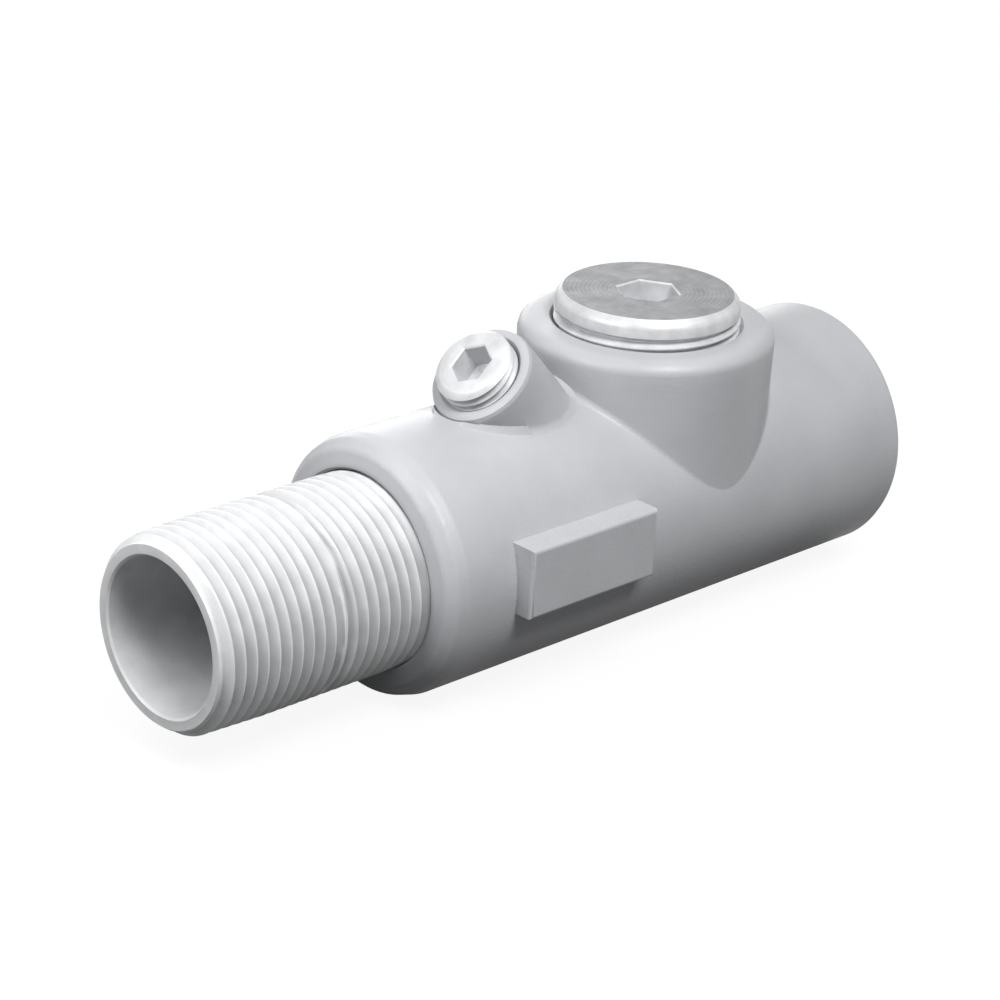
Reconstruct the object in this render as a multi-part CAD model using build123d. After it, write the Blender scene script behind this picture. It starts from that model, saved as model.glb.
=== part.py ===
from build123d import *
from math import cos, radians, sin
import os

# A one inch male and female conduit sealing fitting.
# The origin is on the conduit's axis, where the thread of the female mouth
# starts. +X points out of that mouth, and +Z is the way the large plug faces.
# Sizes are millimetres. Threads are plain at their crest diameter.

# Conduit thread and the nipple
thread_crest_dia = 33.4
thread_clearance = 0.05
nipple_length = 50.8
nipple_bore_dia = 26.0
nipple_end_chamfer = 1.4
nipple_engagement = 9.9
thread_gap_width = 1.4
thread_gap_depth = 1.1

# Tube of the cast body
origin_inside_mouth = 1.2
body_length = 108.8
body_dia = 44.3
male_end_rounding = 4.4
mouth_rounding = 1.2
mouth_chamfer = 1.0
nipple_seat_chamfer = 0.5
mouth_thread_depth = 18.0
nipple_thread_depth = 13.0

# Smooth bushings and the sealing chamber between them
throat_dia = 26.4
throat_length = 4.0
throat_rounding = 1.2
chamber_dia = 35.6
chamber_slope_length = 4.5

# Large opening, which stands straight up from the body
large_port_from_mouth = 45.0
large_boss_rim_dia = 44.2
large_boss_root_dia = 42.8
large_boss_height = 29.5
large_rim_rounding = 2.6
large_root_blend = 1.3
port_mouth_chamfer = 0.6
plug_clearance = 0.05

# Large closure plug
large_plug_dia = 32.0
large_plug_length = 18.6
large_plug_stand_out = 5.1
large_plug_face_dia = 29.3
large_plug_edge_height = 1.2
large_plug_core_dia = 22.0
large_plug_core_depth = 8.0
large_socket_width = 9.53
large_socket_depth = 6.0
plug_end_chamfer = 1.0

# Pouring opening, which leans towards the nipple
pour_axis_tilt = 42.0
pour_axis_crossing_from_mouth = 58.4
pour_boss_reach = 38.1
pour_boss_dia = 18.4
pour_rim_rounding = 1.1
pour_root_bevel = 1.0
pour_trim_length = 8.0

# Pouring plug
pour_plug_dia = 13.7
pour_plug_length = 13.2
pour_plug_stand_out = 3.2
pour_plug_face_dia = 11.5
pour_plug_edge_height = 0.8
pour_socket_width = 6.35
pour_socket_depth = 5.0

# Raised label pad on the side of the body
pad_length = 28.4
pad_height = 12.0
pad_stand_out = 3.35
pad_centre_from_mouth = 80.4
pad_centre_above_axis = 2.4
pad_edge_rounding = 0.7

body_radius = body_dia / 2
large_port_x = -large_port_from_mouth
thread_bore_radius = thread_crest_dia / 2 + thread_clearance
throat_radius = throat_dia / 2
chamber_radius = chamber_dia / 2
UPWARD = (Align.CENTER, Align.CENTER, Align.MIN)


def turned(outline, axis=Axis.X):
    """Revolves a closed outline of (along, radius) points about the axis."""
    points = outline if axis == Axis.X else [(radius, along) for along, radius in outline]
    face = make_face(Plane.XZ * Polyline(*points, close=True))
    return revolve(face, axis, 360)


def pour_frame(height):
    """Places a shape on the pouring axis, its +Z outwards, at a height from the conduit axis."""
    foot = Pos(-pour_axis_crossing_from_mouth, 0, 0)
    return foot * Rot(0, -pour_axis_tilt, 0) * Pos(0, 0, height)


def blended(first, second, radius):
    """Joins two shapes and rounds the inner corner where they meet."""
    joined = first + second
    return fillet(new_edges(first, second, combined=joined), radius)


def bevelled(first, second, length):
    """Joins two shapes and fills the inner corner where they meet with a slope."""
    joined = first + second
    return chamfer(new_edges(first, second, combined=joined), length)


def rounded_edge(edge_at, edge_radius, rounding, steps, inward=1):
    """Points of a rounded outer edge, from the outside wall round to the end face."""
    turns = [radians(90 * step / steps) for step in range(steps + 1)]
    return [
        (edge_at - inward * rounding * (1 - sin(turn)), edge_radius - rounding * (1 - cos(turn)))
        for turn in turns
    ]


def lip_trim(height, radius, rounding, steps):
    """The ring that takes the sharp rim off an upright boss and leaves it rounded."""
    rim = rounded_edge(height, radius, rounding, steps)
    first_slope = (rim[0][1] - rim[1][1]) / (rim[1][0] - rim[0][0])
    overlap = rounding / 3
    outside = radius + overlap * first_slope
    above = height + rounding
    return turned(
        [(rim[0][0] - overlap, outside), *rim[1:], (above, rim[-1][1]), (above, outside)],
        Axis.Z,
    )


def cast_tube():
    """The outside of the straight tube, with both end edges rounded."""
    mouth = rounded_edge(0, body_radius, mouth_rounding, 2)
    male_end = rounded_edge(-body_length, body_radius, male_end_rounding, 3, inward=-1)
    return turned([(0, 0), *reversed(mouth), *male_end, (-body_length, 0)])


def large_boss():
    """The upright boss, slightly wider at its rim."""
    return Pos(large_port_x, 0, 0) * Cone(
        large_boss_root_dia / 2, large_boss_rim_dia / 2, large_boss_height, align=UPWARD
    )


def pour_boss():
    """The small leaning boss, left too long so that its root bevel can be trimmed with it."""
    root = chamber_radius / 2
    length = pour_boss_reach - root + pour_trim_length
    return pour_frame(root) * Cylinder(pour_boss_dia / 2, length, align=UPWARD)


def pour_trim():
    """What stands above the pouring boss's face and outside the tube."""
    radius = pour_boss_dia / 2 + 4 * pour_root_bevel
    above_face = pour_frame(pour_boss_reach) * Cylinder(radius, 2 * pour_trim_length, align=UPWARD)
    return above_face - cast_tube()


def label_pad():
    """The raised flat pad on the side of the tube."""
    depth = pad_stand_out + body_radius - chamber_radius - 1
    pad = Box(pad_length, depth, pad_height, align=(Align.CENTER, Align.MIN, Align.CENTER))
    front = pad.faces().sort_by(Axis.Y)[0]
    pad = fillet(front.edges(), pad_edge_rounding)
    place = Pos(-pad_centre_from_mouth, -body_radius - pad_stand_out, pad_centre_above_axis)
    return place * pad


def bore():
    """The way through the body: both threads, both bushings and the chamber."""
    mouth_stop = -mouth_thread_depth
    mouth_throat_end = mouth_stop - throat_length
    male_face = -body_length
    male_stop = male_face + nipple_thread_depth
    male_throat_end = male_stop + throat_length
    return turned(
        [
            (mouth_chamfer, 0),
            (mouth_chamfer, thread_bore_radius + 2 * mouth_chamfer),
            (-mouth_chamfer, thread_bore_radius),
            (mouth_stop, thread_bore_radius),
            (mouth_stop, throat_radius + throat_rounding),
            (mouth_stop - throat_rounding, throat_radius),
            (mouth_throat_end, throat_radius),
            (mouth_throat_end - chamber_slope_length, chamber_radius),
            (male_throat_end + chamber_slope_length, chamber_radius),
            (male_throat_end, throat_radius),
            (male_stop + throat_rounding, throat_radius),
            (male_stop, throat_radius + throat_rounding),
            (male_stop, thread_bore_radius),
            (male_face + nipple_seat_chamfer, thread_bore_radius),
            (male_face - nipple_seat_chamfer, thread_bore_radius + 2 * nipple_seat_chamfer),
            (male_face - nipple_seat_chamfer, 0),
        ]
    )


def port_hole(dia, depth):
    """A hole down from z = 0, with its edge broken where it opens."""
    radius = dia / 2 + plug_clearance
    down = (Align.CENTER, Align.CENTER, Align.MAX)
    hole = Cylinder(radius, depth, align=down)
    mouth = Cone(radius, radius + 2 * port_mouth_chamfer, 2 * port_mouth_chamfer)
    return hole + mouth


def cast_body():
    """The one-piece casting."""
    body = blended(cast_tube(), large_boss(), large_root_blend)
    body = bevelled(body, pour_boss(), pour_root_bevel)
    body = body - pour_trim()
    body = body - pour_frame(0) * lip_trim(pour_boss_reach, pour_boss_dia / 2, pour_rim_rounding, 2)
    large_trim = lip_trim(large_boss_height, large_boss_rim_dia / 2, large_rim_rounding, 3)
    body = body - Pos(large_port_x, 0, 0) * large_trim
    body = body + label_pad()
    body = body - bore()
    body = body - Pos(large_port_x, 0, large_boss_height) * port_hole(large_plug_dia, large_boss_height)
    return body - pour_frame(pour_boss_reach) * port_hole(pour_plug_dia, pour_boss_reach)


def nipple():
    """The threaded pipe nipple, screwed into the male end of the body."""
    inner_end = -body_length + nipple_engagement
    free_end = inner_end - nipple_length
    middle = (inner_end + free_end) / 2
    crest = thread_crest_dia / 2
    gap = thread_gap_width / 2
    return turned(
        [
            (inner_end, nipple_bore_dia / 2),
            (inner_end, crest - nipple_end_chamfer),
            (inner_end - nipple_end_chamfer, crest),
            (middle + gap, crest),
            (middle + gap, crest - thread_gap_depth),
            (middle - gap, crest - thread_gap_depth),
            (middle - gap, crest),
            (free_end + nipple_end_chamfer, crest),
            (free_end, crest - nipple_end_chamfer),
            (free_end, nipple_bore_dia / 2),
        ]
    )


def hex_socket(width, depth):
    """A six-sided wrench socket down from z = 0."""
    outline = RegularPolygon(width / 2, 6, major_radius=False)
    return extrude(outline, -depth)


def large_plug():
    """The large closure plug, hollow underneath, with a wrench socket on top."""
    top = large_boss_height + large_plug_stand_out
    bottom = top - large_plug_length
    shoulder = top - large_plug_edge_height
    crest = large_plug_dia / 2
    core = large_plug_core_dia / 2
    body = turned(
        [
            (top, 0),
            (top, large_plug_face_dia / 2),
            (shoulder, crest),
            (bottom + plug_end_chamfer, crest),
            (bottom, crest - plug_end_chamfer),
            (bottom, core),
            (bottom + large_plug_core_depth, core - plug_end_chamfer),
            (bottom + large_plug_core_depth, 0),
        ],
        Axis.Z,
    )
    return Pos(large_port_x, 0, 0) * (body - Pos(0, 0, top) * hex_socket(large_socket_width, large_socket_depth))


def pour_plug():
    """The small plug of the pouring opening, with its wrench socket."""
    bottom = pour_plug_stand_out - pour_plug_length
    crest = pour_plug_dia / 2
    body = turned(
        [
            (pour_plug_stand_out, 0),
            (pour_plug_stand_out, pour_plug_face_dia / 2),
            (pour_plug_stand_out - pour_plug_edge_height, crest),
            (bottom + plug_end_chamfer, crest),
            (bottom, crest - plug_end_chamfer),
            (bottom, 0),
        ],
        Axis.Z,
    )
    socket = Pos(0, 0, pour_plug_stand_out) * hex_socket(pour_socket_width, pour_socket_depth)
    return pour_frame(pour_boss_reach) * (body - socket)


pieces = {
    "cast_body": cast_body(),
    "threaded_nipple": nipple(),
    "large_closure_plug": large_plug(),
    "pouring_plug": pour_plug(),
}

os.makedirs("parts", exist_ok=True)
for name, shape in pieces.items():
    export_step(Pos(origin_inside_mouth, 0, 0) * shape, f"parts/{name}.step")
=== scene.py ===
import bmesh
import bpy
from math import atan2, ceil, cos, hypot, pi, radians, sin
from mathutils import Matrix, Vector


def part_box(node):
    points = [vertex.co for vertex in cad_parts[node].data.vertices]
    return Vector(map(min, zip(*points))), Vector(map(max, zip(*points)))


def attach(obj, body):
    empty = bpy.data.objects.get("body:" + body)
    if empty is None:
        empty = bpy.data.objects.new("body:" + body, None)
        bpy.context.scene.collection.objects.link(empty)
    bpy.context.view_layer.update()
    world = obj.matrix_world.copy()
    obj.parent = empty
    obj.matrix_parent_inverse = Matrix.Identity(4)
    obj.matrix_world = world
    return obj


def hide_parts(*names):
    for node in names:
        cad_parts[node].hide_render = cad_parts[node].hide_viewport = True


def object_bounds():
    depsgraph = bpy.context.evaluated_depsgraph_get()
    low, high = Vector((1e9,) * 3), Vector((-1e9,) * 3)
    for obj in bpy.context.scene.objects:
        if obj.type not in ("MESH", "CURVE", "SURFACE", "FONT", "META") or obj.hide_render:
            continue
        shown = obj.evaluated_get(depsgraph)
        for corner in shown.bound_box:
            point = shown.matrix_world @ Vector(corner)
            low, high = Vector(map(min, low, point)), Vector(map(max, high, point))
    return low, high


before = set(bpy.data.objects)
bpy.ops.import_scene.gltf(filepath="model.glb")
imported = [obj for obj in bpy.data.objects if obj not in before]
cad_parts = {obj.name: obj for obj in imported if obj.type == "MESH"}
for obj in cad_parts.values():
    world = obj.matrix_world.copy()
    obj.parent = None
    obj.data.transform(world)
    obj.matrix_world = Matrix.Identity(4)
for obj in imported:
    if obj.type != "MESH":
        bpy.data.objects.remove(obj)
cad_box = [list(corner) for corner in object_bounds()]
scene = bpy.context.scene


# The floor that the fitting lies on, a wide pale sheet. It touches the
# underside of the tube. The background is white to the camera and in
# reflections. The fitting's soft shadow on the floor is partly real and
# partly painted shadow, with the floor's glow dimmed close under the fitting.

FLOOR_HEIGHT = cad_box[0][2]
FLOOR_HALF_WIDTH = 4.0
FLOOR_GREY = 0.08
FLOOR_SHEEN_WHITE = 0.96
PAINTED_SHADOW_REACH = 0.09
PAINTED_SHADOW_SAMPLES = 8
PAINTED_SHADOW_WHITE_TO_CAMERA = 0.94
PAINTED_SHADOW_WHITE_IN_REFLECTIONS = 0.0


def white_where_seen(nodes, links):
    """1 for the camera, for reflections and for what passes through, and 0 for other light."""
    path = nodes.new("ShaderNodeLightPath")
    seen = nodes.new("ShaderNodeMath")
    seen.operation = "MAXIMUM"
    links.new(path.outputs["Is Camera Ray"], seen.inputs[0])
    links.new(path.outputs["Is Transmission Ray"], seen.inputs[1])
    either = nodes.new("ShaderNodeMath")
    either.operation = "MAXIMUM"
    links.new(seen.outputs[0], either.inputs[0])
    links.new(path.outputs["Is Glossy Ray"], either.inputs[1])
    return either.outputs[0]


def floor_sheet():
    """Matt pale paper, white where it is seen, with a painted shadow close under the fitting."""
    material = bpy.data.materials.new("floor_sheet")
    material.use_nodes = True
    nodes, links = material.node_tree.nodes, material.node_tree.links
    nodes.clear()
    paper = nodes.new("ShaderNodeBsdfDiffuse")
    paper.inputs["Color"].default_value = (FLOOR_GREY, FLOOR_GREY, FLOOR_GREY, 1)
    # Painted shadow: ambient occlusion dims the glow close under the fitting, fully in reflections
    # and slightly to the camera.
    openness = nodes.new("ShaderNodeAmbientOcclusion")
    openness.samples = PAINTED_SHADOW_SAMPLES
    openness.inputs["Distance"].default_value = PAINTED_SHADOW_REACH
    path = nodes.new("ShaderNodeLightPath")
    darkest = nodes.new("ShaderNodeMapRange")
    darkest.inputs["To Min"].default_value = PAINTED_SHADOW_WHITE_IN_REFLECTIONS * FLOOR_SHEEN_WHITE
    darkest.inputs["To Max"].default_value = PAINTED_SHADOW_WHITE_TO_CAMERA * FLOOR_SHEEN_WHITE
    links.new(path.outputs["Is Camera Ray"], darkest.inputs["Value"])
    white = nodes.new("ShaderNodeMapRange")
    white.inputs["To Max"].default_value = FLOOR_SHEEN_WHITE
    links.new(openness.outputs["AO"], white.inputs["Value"])
    links.new(darkest.outputs["Result"], white.inputs["To Min"])
    strength = nodes.new("ShaderNodeMath")
    strength.operation = "MULTIPLY"
    links.new(white_where_seen(nodes, links), strength.inputs[0])
    links.new(white.outputs["Result"], strength.inputs[1])
    glow = nodes.new("ShaderNodeEmission")
    links.new(strength.outputs[0], glow.inputs["Strength"])
    both = nodes.new("ShaderNodeAddShader")
    links.new(paper.outputs[0], both.inputs[0])
    links.new(glow.outputs[0], both.inputs[1])
    end = nodes.new("ShaderNodeOutputMaterial")
    links.new(both.outputs[0], end.inputs["Surface"])
    return material


shape = bmesh.new()
bmesh.ops.create_grid(shape, x_segments=1, y_segments=1, size=FLOOR_HALF_WIDTH)
bmesh.ops.translate(shape, verts=shape.verts, vec=(0, 0, FLOOR_HEIGHT))
mesh = bpy.data.meshes.new("floor")
shape.to_mesh(mesh)
shape.free()
mesh.materials.append(floor_sheet())
floor = bpy.data.objects.new("floor", mesh)
scene.collection.objects.link(floor)

# The room: an even pale fill from all sides, white where the camera or a
# reflection sees it.

FILL_LIGHT = 0.10
ROOM_WHITE = 1.0

world = bpy.data.worlds.new("room")
scene.world = world
world.use_nodes = True
nodes, links = world.node_tree.nodes, world.node_tree.links
background = nodes["Background"]
background.inputs["Color"].default_value = (1, 1, 1, 1)
level = nodes.new("ShaderNodeMapRange")
level.inputs["To Min"].default_value = FILL_LIGHT
level.inputs["To Max"].default_value = ROOM_WHITE
links.new(white_where_seen(nodes, links), level.inputs["Value"])
links.new(level.outputs["Result"], background.inputs["Strength"])

# The lamps: a small soft box close above the nipple's end, a wide one high
# up in front of the label pad, and a weak one low down behind the fitting.

SOFT_BOXES = {
    "key_box": ((-0.23, 0.02, 0.15), 0.10, 0.23),
    "camera_side_box": ((-0.21, -0.54, 0.83), 0.40, 9.6),
    "back_box": ((0.34, 0.60, 0.08), 0.40, 1.5),
}
LAMPS_AIM = (-0.07, 0.0, 0.0)

for name, (place, width, power) in SOFT_BOXES.items():
    lamp = bpy.data.lights.new(name, "AREA")
    lamp.shape = "SQUARE"
    lamp.size = width
    lamp.energy = power
    box = bpy.data.objects.new(name, lamp)
    away = Vector(place) - Vector(LAMPS_AIM)
    box.matrix_world = Matrix.Translation(place) @ away.to_track_quat("Z", "Y").to_matrix().to_4x4()
    scene.collection.objects.link(box)

# The camera, above the free end of the nipple and in front of the label pad.
# Its place, turn and lens were fitted to the outline of the fitting.

CAMERA_PLACE = (-0.42527, -0.35576, 0.21768)
CAMERA_RIGHT = (0.72712, -0.68496, 0.04610)
CAMERA_UP = (0.23944, 0.31597, 0.91806)
CAMERA_BACK = (-0.64340, -0.65650, 0.39376)
CAMERA_SENSOR = 36.0
CAMERA_LENS = 116.66
CAMERA_NEAREST = 0.01

lens = bpy.data.cameras.new("camera")
lens.sensor_width = CAMERA_SENSOR
lens.lens = CAMERA_LENS
lens.clip_start = CAMERA_NEAREST
camera = bpy.data.objects.new("camera", lens)
turn = Matrix((CAMERA_RIGHT, CAMERA_UP, CAMERA_BACK)).transposed().to_4x4()
camera.matrix_world = Matrix.Translation(CAMERA_PLACE) @ turn
scene.collection.objects.link(camera)
scene.camera = camera
scene.view_settings.view_transform = "Standard"


# The cast body. One sand casting in aluminium, with a satin, finely grained
# skin: tube, both hubs, the upright boss, the leaning boss and the raised pad.
# It is the frame's own solid, joined up and lifted on to its true round walls.

CAST_LIGHT = (0.500, 0.510, 0.530, 1)
CAST_DARK = (0.455, 0.463, 0.482, 1)
CAST_ROUGHNESS = (0.34, 0.46)
CAST_GRAIN_SIZE = 0.0006
CAST_MOTTLE_SIZE = 0.012
CAST_GRAIN_HEIGHT = 0.00004
CAST_MOTTLE_HEIGHT = 0.00008
CAST_SPECULAR = 0.3
NOISE_LOW = 0.3
NOISE_HIGH = 0.7
CREASE_ANGLE = 38
SAME_POINT = 1e-6
PLACE_DIGITS = 7
WALL_MATCH = cos(radians(6))
LEAST_SLOPE = 0.2
TUBE_REACH = 0.0223
LARGE_BOSS_REACH = 0.0222
POUR_BOSS_REACH = 0.0105
LARGE_PLUG_AXIS_X = -0.0438
POUR_FOOT_X = -0.0572
POUR_LEAN = 42


def noise_field(nodes, links, size, detail, stretch=(1, 1, 1)):
    """Noise in space, with grains of about that size, on Object coordinates."""
    place = nodes.new("ShaderNodeTexCoord")
    mapping = nodes.new("ShaderNodeMapping")
    mapping.vector_type = "TEXTURE"
    mapping.inputs["Scale"].default_value = stretch
    links.new(place.outputs["Object"], mapping.inputs["Vector"])
    noise = nodes.new("ShaderNodeTexNoise")
    noise.inputs["Scale"].default_value = 1 / size
    noise.inputs["Detail"].default_value = detail
    links.new(mapping.outputs[0], noise.inputs["Vector"])
    return noise.outputs["Fac"]


def spread(nodes, links, value, low, high, start=NOISE_LOW, stop=NOISE_HIGH):
    """Maps a pattern's value to a range."""
    mapped = nodes.new("ShaderNodeMapRange")
    mapped.inputs["From Min"].default_value = start
    mapped.inputs["From Max"].default_value = stop
    mapped.inputs["To Min"].default_value = low
    mapped.inputs["To Max"].default_value = high
    links.new(value, mapped.inputs["Value"])
    return mapped.outputs["Result"]


def tinted(nodes, links, value, dark, light):
    """A colour between two tints, chosen by a noise value."""
    ramp = nodes.new("ShaderNodeValToRGB")
    ramp.color_ramp.elements[0].position = NOISE_LOW
    ramp.color_ramp.elements[0].color = dark
    ramp.color_ramp.elements[1].position = NOISE_HIGH
    ramp.color_ramp.elements[1].color = light
    links.new(value, ramp.inputs["Fac"])
    return ramp.outputs["Color"]


def raised(nodes, links, heights):
    """A bumped normal from a list of (value, height) pairs."""
    normal = None
    for value, height in heights:
        bump = nodes.new("ShaderNodeBump")
        bump.inputs["Strength"].default_value = 1.0
        bump.inputs["Distance"].default_value = height
        links.new(value, bump.inputs["Height"])
        if normal:
            links.new(normal, bump.inputs["Normal"])
        normal = bump.outputs["Normal"]
    return normal


def cast_skin():
    """Satin cast aluminium: a fine sandy grain, soft mottling and uneven gloss."""
    material = bpy.data.materials.new("cast_skin")
    material.use_nodes = True
    nodes, links = material.node_tree.nodes, material.node_tree.links
    skin = nodes["Principled BSDF"]
    skin.inputs["Specular IOR Level"].default_value = CAST_SPECULAR
    grain = noise_field(nodes, links, CAST_GRAIN_SIZE, detail=3)
    mottle = noise_field(nodes, links, CAST_MOTTLE_SIZE, detail=4)
    links.new(tinted(nodes, links, mottle, CAST_DARK, CAST_LIGHT), skin.inputs["Base Color"])
    links.new(spread(nodes, links, grain, *CAST_ROUGHNESS), skin.inputs["Roughness"])
    heights = [(grain, CAST_GRAIN_HEIGHT), (mottle, CAST_MOTTLE_HEIGHT)]
    links.new(raised(nodes, links, heights), skin.inputs["Normal"])
    return material


def shown_piece(name, shape, material):
    """Turns a finished shape into a smooth-shaded piece with crisp creases."""
    mesh = bpy.data.meshes.new(name)
    shape.to_mesh(mesh)
    shape.free()
    mesh.shade_smooth()
    mesh.set_sharp_from_angle(angle=radians(CREASE_ANGLE))
    mesh.materials.append(material)
    piece = bpy.data.objects.new(name, mesh)
    scene.collection.objects.link(piece)
    return piece


def out_from(point, start, way):
    """The square way out from an axis to a point."""
    return (point - start) - (point - start).dot(way) * way


def wall_of(face):
    """The number of the round wall that a facet is part of, or 0 if it is flat or blended."""
    for number, (start, way, reach) in enumerate(ROUND_WALLS, 1):
        across = face.normal - face.normal.dot(way) * way
        outs = [out_from(vert.co, start, way) for vert in face.verts]
        near = max(out.length for out in outs) < reach
        if near and across.length > LEAST_SLOPE:
            facing = [abs(out.normalized().dot(across.normalized())) for out in outs]
            if min(facing) > WALL_MATCH:
                return number
    return 0


def place_key(point):
    """A point as a key to look it up by."""
    return tuple(round(part, PLACE_DIGITS) for part in point)


def rounded_out(shape):
    """Halves each facet's sides, and lifts the new points on to the round walls."""
    wall_number = shape.faces.layers.int.new("wall")
    importance = shape.faces.layers.float.new("importance")
    for face in shape.faces:
        face[wall_number] = wall_of(face)
        face[importance] = face.calc_area()
    lifted = {}
    for edge in shape.edges:
        one, other = (vert.co.copy() for vert in edge.verts)
        middle = (one + other) / 2
        wall = next((face[wall_number] for face in edge.link_faces if face[wall_number]), 0)
        if wall:
            start, way, _ = ROUND_WALLS[wall - 1]
            out = out_from(middle, start, way)
            radius = (out_from(one, start, way).length + out_from(other, start, way).length) / 2
            lifted[place_key(middle)] = middle + out.normalized() * (radius - out.length)
    halved = bmesh.ops.subdivide_edges(shape, edges=shape.edges, cuts=1, use_grid_fill=True)
    for item in halved["geom_inner"]:
        if isinstance(item, bmesh.types.BMVert):
            item.co = lifted.get(place_key(item.co), item.co)


def true_normal(face, wall, point):
    """The normal that a facet's round wall has at a point, or the facet's own if it is flat."""
    if not wall:
        return face.normal
    start, way, _ = ROUND_WALLS[wall - 1]
    rise = face.normal.dot(way)
    out = out_from(point, start, way).normalized()
    if out.dot(face.normal) < 0:
        out.negate()
    return out * (1 - rise * rise) ** 0.5 + way * rise


def even_shading(mesh):
    """Gives every facet corner the normal of the smooth surface that it stands for."""
    walls = [item.value for item in mesh.attributes["wall"].data]
    weights = [item.value for item in mesh.attributes["importance"].data]
    same_side = cos(radians(CREASE_ANGLE))
    meeting = [[] for vert in mesh.vertices]
    for face in mesh.polygons:
        for vert in face.vertices:
            meeting[vert].append(face.index)
    normals = []
    for face in mesh.polygons:
        for vert in face.vertices:
            point = mesh.vertices[vert].co
            own = true_normal(face, walls[face.index], point)
            total = Vector()
            for index in meeting[vert]:
                other = true_normal(mesh.polygons[index], walls[index], point)
                if other.dot(own) > same_side:
                    total += other * weights[index]
            normals.append(total.normalized())
    mesh.normals_split_custom_set(normals)


lean_way = Vector((-sin(radians(POUR_LEAN)), 0, cos(radians(POUR_LEAN))))
ROUND_WALLS = [
    (Vector((0, 0, 0)), Vector((1, 0, 0)), TUBE_REACH),
    (Vector((LARGE_PLUG_AXIS_X, 0, 0)), Vector((0, 0, 1)), LARGE_BOSS_REACH),
    (Vector((POUR_FOOT_X, 0, 0)), lean_way, POUR_BOSS_REACH),
]

cast_metal = cast_skin()
shape = bmesh.new()
shape.from_mesh(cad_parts["cast_body"].data)
bmesh.ops.remove_doubles(shape, verts=shape.verts, dist=SAME_POINT)
rounded_out(shape)
casting = shown_piece("casting", shape, cast_metal)
even_shading(casting.data)
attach(casting, "fitting")
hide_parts("cast_body")


# The tapped thread of the female mouth, cut in the casting's hub. It is a
# sleeve of 60 degree thread, 11.5 turns to the inch, set into the bore.

MILLIMETRE = 0.001
STEPS_IN_A_TURN = 144
PIPE_PITCH = 25.4 / 11.5
PIPE_CREST_RADIUS = 16.7
PIPE_THREAD_DEPTH = 1.45
MOUTH_THREAD_LENGTH = 16.8
TAP_CLEARANCE = 0.03
TAP_SET_IN = 0.15
PIPE_TAP_LEAD_IN = 0.9
CLOSE_BY = 1e-3
CUT_TOLERANCE = 1e-5
FLANK_PARTS = 4


def spun_thread(crest, pitch, depth, start, end):
    """An open sleeve of right-hand V thread about X, cut square at both ends."""
    root = crest - depth
    flat = pitch / 8
    flank = (pitch - 2 * flat) / 2
    climb = [part / FLANK_PARTS for part in range(1, FLANK_PARTS + 1)]
    ridge = [(0, root), (flat, root)]
    ridge += [(flat + flank * part, root + depth * part) for part in climb]
    ridge += [(2 * flat + flank, crest)]
    ridge += [(2 * flat + flank + flank * part, crest - depth * part) for part in climb]
    first = start - 2 * pitch
    turns = ceil((end - first) / pitch) + 1
    shape = bmesh.new()
    line = [shape.verts.new((first + along, 0, radius)) for along, radius in ridge]
    edges = [shape.edges.new(pair) for pair in zip(line, line[1:])]
    bmesh.ops.spin(
        shape,
        geom=line + edges,
        cent=(0, 0, 0),
        axis=(1, 0, 0),
        dvec=(pitch / STEPS_IN_A_TURN, 0, 0),
        angle=2 * pi,
        steps=STEPS_IN_A_TURN,
    )
    one_turn = shape.verts[:] + shape.edges[:] + shape.faces[:]
    for turn in range(1, turns):
        copied = bmesh.ops.duplicate(shape, geom=one_turn)["geom"]
        moved = [item for item in copied if isinstance(item, bmesh.types.BMVert)]
        bmesh.ops.translate(shape, verts=moved, vec=(turn * pitch, 0, 0))
    bmesh.ops.remove_doubles(shape, verts=shape.verts, dist=CLOSE_BY)
    for cut, way in ((start, 1), (end, -1)):
        bmesh.ops.bisect_plane(
            shape,
            geom=shape.verts[:] + shape.edges[:] + shape.faces[:],
            dist=CUT_TOLERANCE,
            plane_co=(cut, 0, 0),
            plane_no=(way, 0, 0),
            clear_inner=True,
        )
    return shape


def limited(shape, limits):
    """Keeps every point between the lowest and highest radius that limits(along) allows."""
    for vert in shape.verts:
        radius = hypot(vert.co.y, vert.co.z)
        low, high = limits(vert.co.x)
        kept = min(max(radius, low), high)
        vert.co.y *= kept / radius
        vert.co.z *= kept / radius


def open_ring(shape, along):
    """The open edges that lie at that place along the axis."""
    return [
        edge
        for edge in shape.edges
        if edge.is_boundary and all(abs(vert.co.x - along) < CLOSE_BY for vert in edge.verts)
    ]


def carried_on(shape, ring, stops):
    """Carries an open ring through a list of (along, radius) stops, and gives the last ring."""
    for along, radius in stops:
        grown = bmesh.ops.extrude_edge_only(shape, edges=ring)["geom"]
        verts = {item for item in grown if isinstance(item, bmesh.types.BMVert)}
        for vert in verts:
            angle = atan2(vert.co.z, vert.co.y)
            reach = radius(angle) if callable(radius) else radius
            vert.co = (along, reach * cos(angle), reach * sin(angle))
        edges = [item for item in grown if isinstance(item, bmesh.types.BMEdge)]
        ring = [edge for edge in edges if all(vert in verts for vert in edge.verts)]
    return ring


def along_points(points, along):
    """Reads a radius from a list of (along, radius) points, in straight lines between them."""
    for (from_x, from_r), (to_x, to_r) in zip(points, points[1:]):
        if along <= to_x:
            part = max(0.0, (along - from_x) / (to_x - from_x))
            return from_r + part * (to_r - from_r)
    return points[-1][1]


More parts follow.
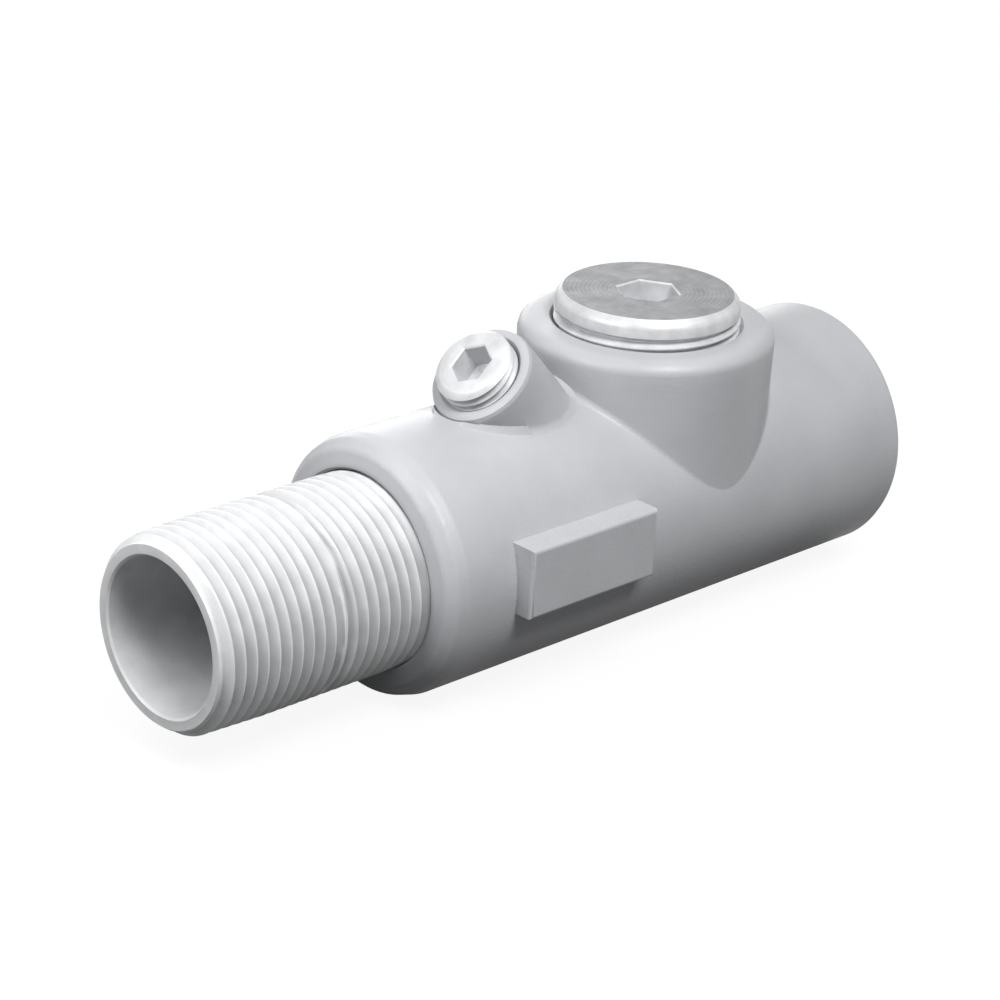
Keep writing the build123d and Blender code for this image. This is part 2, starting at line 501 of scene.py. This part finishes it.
def tapped_sleeve(crest, pitch, depth, start, end, lead_in):
    """A closed sleeve with a female thread inside, for a bore whose wall is at the crest."""
    shape = spun_thread(crest + TAP_CLEARANCE, pitch, depth, start, end)
    wall = crest + TAP_CLEARANCE
    floor_line = [(start, 0), (end - lead_in, 0), (end, wall)]
    limited(shape, lambda along: (along_points(floor_line, along), wall + 1))
    outside = crest + TAP_SET_IN + TAP_CLEARANCE
    far = carried_on(shape, open_ring(shape, start), [(start, outside)])
    near = carried_on(shape, open_ring(shape, end), [(end, outside)])
    bmesh.ops.bridge_loops(shape, edges=far + near)
    bmesh.ops.recalc_face_normals(shape, faces=shape.faces)
    return shape


def set_down(shape, place):
    """Brings a shape from millimetres about the X axis to its place on the fitting."""
    bmesh.ops.transform(shape, matrix=place @ Matrix.Scale(MILLIMETRE, 4), verts=shape.verts)


shape = tapped_sleeve(
    PIPE_CREST_RADIUS, PIPE_PITCH, PIPE_THREAD_DEPTH, -MOUTH_THREAD_LENGTH, 0.0, PIPE_TAP_LEAD_IN
)
set_down(shape, Matrix.Identity(4))
mouth_thread = shown_piece("mouth_thread", shape, cast_metal)
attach(mouth_thread, "fitting")


# The nipple: a two inch length of plated steel pipe, with a tapered pipe
# thread cut from each end and a narrow plain ring where the two meet. It is
# screwed wrench tight into the male end of the casting.

NIPPLE_LENGTH = 50.8
NIPPLE_BORE_RADIUS = 13.0
NIPPLE_BORE_EDGE = 0.35
NIPPLE_BORE_STEP = 6.0
NIPPLE_FACE_RADIUS = 14.9
NIPPLE_FACE_DEPTH = 0.5
NIPPLE_BEVEL_START = 0.25
NIPPLE_BEVEL_SLOPE = 1.25
NIPPLE_TAPER = 1 / 32
NIPPLE_TAPER_LENGTH = 13.4
NIPPLE_TAPER_DROP = 0.42
MIDDLE_RING = [(23.0, 0), (23.4, 16.62), (24.2, 16.62), (24.5, 15.3), (25.5, 15.3), (26.3, 0)]
MIDDLE_GROOVE = [(24.2, 16.7), (24.6, 15.45), (25.4, 15.45), (26.2, 16.7)]
NIPPLE_BRIGHT = (0.79, 0.80, 0.81, 1)
NIPPLE_SHADE = (0.68, 0.69, 0.70, 1)
# Painted shade in the steel: its dark colour, and how much of it the thread roots, the bore and the
# middle groove get.
NIPPLE_PAINTED_SHADE = (0.22, 0.225, 0.23, 1)
ROOT_PAINTED_SHADE = 0.40
BORE_PAINTED_SHADE = 0.15
GAP_PAINTED_SHADE = 0.60
GAP_START = 24.4
GAP_END = 26.2
GAP_UNSHADED_RADIUS = 16.5
STEEL_METALLIC = 0.12
STEEL_SPECULAR = 0.25
STEEL_ROUGHNESS = (0.38, 0.54)
STEEL_RING_SIZE = 0.0006
STEEL_RING_STRETCH = (0.2, 3, 3)
STEEL_PATCH_SIZE = 0.004
STEEL_BUMP = 0.00002


def cut_steel():
    """Plated steel with the fine rings that a die leaves round the thread, and painted shade
    darkening the thread roots, the middle groove and the bore.
    """
    material = bpy.data.materials.new("cut_steel")
    material.use_nodes = True
    nodes, links = material.node_tree.nodes, material.node_tree.links
    steel = nodes["Principled BSDF"]
    steel.inputs["Metallic"].default_value = STEEL_METALLIC
    steel.inputs["Specular IOR Level"].default_value = STEEL_SPECULAR
    rings = noise_field(nodes, links, STEEL_RING_SIZE, detail=2, stretch=STEEL_RING_STRETCH)
    patches = noise_field(nodes, links, STEEL_PATCH_SIZE, detail=3)
    recess_shade = nodes.new("ShaderNodeAttribute")
    recess_shade.attribute_name = "recess_shade"
    painted_shade_mix = nodes.new("ShaderNodeMix")
    painted_shade_mix.data_type = "RGBA"
    links.new(recess_shade.outputs["Fac"], painted_shade_mix.inputs["Factor"])
    links.new(tinted(nodes, links, patches, NIPPLE_SHADE, NIPPLE_BRIGHT), painted_shade_mix.inputs["A"])
    painted_shade_mix.inputs["B"].default_value = NIPPLE_PAINTED_SHADE
    links.new(painted_shade_mix.outputs["Result"], steel.inputs["Base Color"])
    links.new(spread(nodes, links, rings, *STEEL_ROUGHNESS), steel.inputs["Roughness"])
    heights = [(rings, STEEL_BUMP), (patches, STEEL_BUMP)]
    links.new(raised(nodes, links, heights), steel.inputs["Normal"])
    return material


def nipple_limits(along):
    """The lowest and highest radius of the nipple's outside at a distance from its free end."""
    from_end = min(along, NIPPLE_LENGTH - along)
    crest = PIPE_CREST_RADIUS - max(0, NIPPLE_TAPER_LENGTH - from_end) * NIPPLE_TAPER
    bevel = max(0, from_end - NIPPLE_BEVEL_START) * NIPPLE_BEVEL_SLOPE
    high = min(crest, NIPPLE_FACE_RADIUS + bevel)
    low = 0 if from_end > NIPPLE_FACE_DEPTH else NIPPLE_FACE_RADIUS
    if MIDDLE_RING[0][0] < along < MIDDLE_RING[-1][0]:
        low = max(low, along_points(MIDDLE_RING, along))
    if MIDDLE_GROOVE[0][0] < along < MIDDLE_GROOVE[-1][0]:
        high = min(high, along_points(MIDDLE_GROOVE, along))
    return min(low, high), high


def nipple_recess_shade(along, radius):
    """How much painted shade the steel gets: none on the crests, more in the thread roots, the
    middle groove and the bore.
    """
    if radius < (NIPPLE_BORE_RADIUS + NIPPLE_FACE_RADIUS) / 2:
        return BORE_PAINTED_SHADE
    if GAP_START < along < GAP_END:
        return GAP_PAINTED_SHADE * min(1, max(0, GAP_UNSHADED_RADIUS - radius))
    crest = nipple_limits(along)[1]
    return ROOT_PAINTED_SHADE * (crest - radius) / PIPE_THREAD_DEPTH


shape = spun_thread(PIPE_CREST_RADIUS, PIPE_PITCH, PIPE_THREAD_DEPTH, 0, NIPPLE_LENGTH)
taper = [
    (0, -NIPPLE_TAPER_DROP),
    (NIPPLE_TAPER_LENGTH, 0),
    (NIPPLE_LENGTH - NIPPLE_TAPER_LENGTH, 0),
    (NIPPLE_LENGTH, -NIPPLE_TAPER_DROP),
]
for vert in shape.verts:
    radius = hypot(vert.co.y, vert.co.z)
    shift = along_points(taper, vert.co.x)
    vert.co.y *= (radius + shift) / radius
    vert.co.z *= (radius + shift) / radius
limited(shape, nipple_limits)
edge_radius = NIPPLE_BORE_RADIUS + NIPPLE_BORE_EDGE
free_stops = [
    (0, edge_radius),
    (NIPPLE_BORE_EDGE, NIPPLE_BORE_RADIUS),
    (NIPPLE_BORE_STEP, NIPPLE_BORE_RADIUS),
]
held_stops = [
    (NIPPLE_LENGTH, edge_radius),
    (NIPPLE_LENGTH - NIPPLE_BORE_EDGE, NIPPLE_BORE_RADIUS),
]
free_end = carried_on(shape, open_ring(shape, 0), free_stops)
held_end = carried_on(shape, open_ring(shape, NIPPLE_LENGTH), held_stops)
bmesh.ops.bridge_loops(shape, edges=free_end + held_end)
bmesh.ops.recalc_face_normals(shape, faces=shape.faces)
# Painted shade: each point's share of the dark colour, more in the thread roots, the middle groove
# and the bore.
recess_shade = shape.verts.layers.float.new("recess_shade")
for vert in shape.verts:
    vert[recess_shade] = nipple_recess_shade(vert.co.x, hypot(vert.co.y, vert.co.z))
nipple_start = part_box("threaded_nipple")[0][0]
set_down(shape, Matrix.Translation((nipple_start, 0, 0)))
nipple = shown_piece("nipple", shape, cut_steel())
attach(nipple, "fitting")
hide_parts("threaded_nipple")


# The large closure plug: a turned aluminium plug with a fine thread, a
# bright rounded side, a flat top with a six-sided wrench socket, and a
# hollow underneath. Its flat top is painted shade, a darker copy of the
# same metal. It screws into the upright boss.

LARGE_PLUG_TOP = 34.6
LARGE_PLUG_LENGTH = 18.6
LARGE_CREST_RADIUS = 16.0
PLUG_PITCH = 25.4 / 16
PLUG_THREAD_DEPTH = 1.0
LARGE_THREAD_TOP = -3.7
LARGE_SOCKET_WIDTH = 9.53
LARGE_SOCKET_DEPTH = 6.0
SOCKET_EDGE = 0.25
SOCKET_POINT = 1 / 8
LARGE_SHOULDER = [
    (-3.55, 15.3),
    (-3.3, 15.3),
    (-3.1, 15.85),
    (-1.6, 15.85),
    (-1.15, 15.7),
    (-0.7, 15.35),
    (-0.3, 14.95),
    (0, 14.65),
]
LARGE_CORE = [
    (-LARGE_PLUG_LENGTH, 11.4),
    (-LARGE_PLUG_LENGTH + 0.4, 11.0),
    (-LARGE_PLUG_LENGTH + 8.0, 10.0),
    (-LARGE_PLUG_LENGTH + 8.0, 1.0),
]
PLUG_BRIGHT = (0.70, 0.71, 0.725, 1)
PLUG_SHADE = (0.55, 0.56, 0.57, 1)
# Painted shade: the darker tints of the large plug's flat top.
PLUG_TOP_SHADED_LIGHT = (0.28, 0.285, 0.295, 1)
PLUG_TOP_SHADED_DARK = (0.17, 0.175, 0.185, 1)
PLUG_METALLIC = 0.15
PLUG_SPECULAR = 0.25
PLUG_ROUGHNESS = (0.36, 0.50)
PLUG_PATCH_SIZE = 0.003
PLUG_PATCH_HEIGHT = 0.00002
TURNING_SCALE = 420
TURNING_WOBBLE = 2.0
TURNING_DETAIL = 2.0
TURNING_HEIGHT = 0.000008
TOP_FACING = 0.99
TOP_DEPTH = 0.01


def turned_aluminium(name, centre, lean, shade, bright):
    """Lathe-turned aluminium with fine rings about the plug's own axis."""
    material = bpy.data.materials.new(name)
    material.use_nodes = True
    nodes, links = material.node_tree.nodes, material.node_tree.links
    metal = nodes["Principled BSDF"]
    metal.inputs["Metallic"].default_value = PLUG_METALLIC
    metal.inputs["Specular IOR Level"].default_value = PLUG_SPECULAR
    place = nodes.new("ShaderNodeTexCoord")
    mapping = nodes.new("ShaderNodeMapping")
    mapping.vector_type = "TEXTURE"
    mapping.inputs["Location"].default_value = centre
    mapping.inputs["Rotation"].default_value = (0, lean, 0)
    links.new(place.outputs["Object"], mapping.inputs["Vector"])
    rings = nodes.new("ShaderNodeTexWave")
    rings.wave_type = "RINGS"
    rings.rings_direction = "Z"
    rings.inputs["Scale"].default_value = TURNING_SCALE
    rings.inputs["Distortion"].default_value = TURNING_WOBBLE
    rings.inputs["Detail"].default_value = TURNING_DETAIL
    links.new(mapping.outputs[0], rings.inputs["Vector"])
    turning = rings.outputs["Fac"]
    patches = noise_field(nodes, links, PLUG_PATCH_SIZE, detail=4)
    links.new(tinted(nodes, links, patches, shade, bright), metal.inputs["Base Color"])
    roughness = spread(nodes, links, turning, *PLUG_ROUGHNESS, start=0, stop=1)
    links.new(roughness, metal.inputs["Roughness"])
    heights = [(turning, TURNING_HEIGHT), (patches, PLUG_PATCH_HEIGHT)]
    links.new(raised(nodes, links, heights), metal.inputs["Normal"])
    return material


def six_sided(width):
    """The reach of a hexagon of that width across its flats, at each angle."""

    def reach(angle):
        side = (angle - pi / 6) % (pi / 3) - pi / 6
        return width / 2 / cos(side)

    return reach


def socketed_plug(crest, pitch, depth, length, thread_top, shoulder, width, socket_depth, core):
    """A closed plug about X, its top at 0: thread, shoulder, socket and underside."""
    shape = spun_thread(crest, pitch, depth, -length, thread_top)
    chamfer = [(-length, crest - depth), (-length + depth, crest), (thread_top, crest)]
    limited(shape, lambda along: (0, along_points(chamfer, along)))
    point = SOCKET_POINT * width
    socket = [
        (0, six_sided(width + 2 * SOCKET_EDGE)),
        (-SOCKET_EDGE, six_sided(width)),
        (-socket_depth, six_sided(width)),
        (-socket_depth - point, point),
    ]
    top = carried_on(shape, open_ring(shape, thread_top), shoulder + socket)
    bmesh.ops.edgeloop_fill(shape, edges=top)
    bottom = carried_on(shape, open_ring(shape, -length), core)
    bmesh.ops.edgeloop_fill(shape, edges=bottom)
    bmesh.ops.recalc_face_normals(shape, faces=shape.faces)
    # The flat top faces take the second material slot, which on the large plug is the painted
    # shade.
    for face in shape.faces:
        if face.normal.x > TOP_FACING and face.calc_center_median().x > -TOP_DEPTH:
            face.material_index = 1
    return shape


large_place = (
    Matrix.Translation((LARGE_PLUG_AXIS_X, 0, LARGE_PLUG_TOP * MILLIMETRE))
    @ Matrix.Rotation(radians(-90), 4, "Y")
)
shape = socketed_plug(
    LARGE_CREST_RADIUS,
    PLUG_PITCH,
    PLUG_THREAD_DEPTH,
    LARGE_PLUG_LENGTH,
    LARGE_THREAD_TOP,
    LARGE_SHOULDER,
    LARGE_SOCKET_WIDTH,
    LARGE_SOCKET_DEPTH,
    LARGE_CORE,
)
set_down(shape, large_place)
plug_centre = (LARGE_PLUG_AXIS_X, 0, 0)
plug_metal = turned_aluminium("turned_aluminium", plug_centre, 0, PLUG_SHADE, PLUG_BRIGHT)
# A darker copy of the same metal for the flat top: painted shade.
painted_shade_top = turned_aluminium("painted_shade_top", plug_centre, 0, PLUG_TOP_SHADED_DARK, PLUG_TOP_SHADED_LIGHT)
closure_plug = shown_piece("closure_plug", shape, plug_metal)
closure_plug.data.materials.append(painted_shade_top)
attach(closure_plug, "large_plug")
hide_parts("large_closure_plug")

# The tapped thread of the upright boss, cut in the casting. It starts just
# below the plug's first turns and stays behind when the plug is lifted.

LARGE_PORT_THREAD = (-17.5, -6.0)
LARGE_TAP_LEAD_IN = 0.6

shape = tapped_sleeve(
    LARGE_CREST_RADIUS, PLUG_PITCH, PLUG_THREAD_DEPTH, *LARGE_PORT_THREAD, LARGE_TAP_LEAD_IN
)
set_down(shape, large_place)
large_port_thread = shown_piece("large_port_thread", shape, cast_metal)
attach(large_port_thread, "fitting")


# The pouring plug: a small turned aluminium plug with a fine thread and a
# six-sided wrench socket. It screws into the leaning boss, through which the
# sealing compound is poured.

POUR_FACE_HEIGHT = 38.1
POUR_STAND_OUT = 3.2
POUR_PLUG_LENGTH = 13.2
POUR_THREAD_TOP = -1.3
POUR_CREST_RADIUS = 6.85
POUR_PITCH = 25.4 / 18
POUR_THREAD_DEPTH = 0.85
POUR_SOCKET_WIDTH = 6.35
POUR_SOCKET_DEPTH = 5.0
POUR_SHOULDER = [(-0.8, 6.85), (-0.45, 6.45), (-0.15, 6.05), (0, 5.75)]
POUR_UNDERSIDE = [(-POUR_PLUG_LENGTH, 1)]

lean = radians(-90 - POUR_LEAN)
top_height = POUR_FACE_HEIGHT + POUR_STAND_OUT
pour_place = (
    Matrix.Translation((POUR_FOOT_X, 0, 0))
    @ Matrix.Rotation(lean, 4, "Y")
    @ Matrix.Translation((top_height * MILLIMETRE, 0, 0))
)
shape = socketed_plug(
    POUR_CREST_RADIUS,
    POUR_PITCH,
    POUR_THREAD_DEPTH,
    POUR_PLUG_LENGTH,
    POUR_THREAD_TOP,
    POUR_SHOULDER,
    POUR_SOCKET_WIDTH,
    POUR_SOCKET_DEPTH,
    POUR_UNDERSIDE,
)
set_down(shape, pour_place)
pour_centre = (POUR_FOOT_X, 0, 0)
pour_turn = radians(-POUR_LEAN)
pour_metal = turned_aluminium("turned_small_plug", pour_centre, pour_turn, PLUG_SHADE, PLUG_BRIGHT)
small_plug = shown_piece("small_plug", shape, pour_metal)
small_plug.data.materials.append(pour_metal)
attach(small_plug, "small_plug")
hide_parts("pouring_plug")

# The tapped thread of the leaning boss, cut in the casting. It stays behind
# when the pouring plug is drawn out.

POUR_PORT_THREAD = (-13.5, -4.0)
POUR_TAP_LEAD_IN = 0.5

shape = tapped_sleeve(
    POUR_CREST_RADIUS, POUR_PITCH, POUR_THREAD_DEPTH, *POUR_PORT_THREAD, POUR_TAP_LEAD_IN
)
set_down(shape, pour_place)
pour_port_thread = shown_piece("pour_port_thread", shape, cast_metal)
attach(pour_port_thread, "fitting")
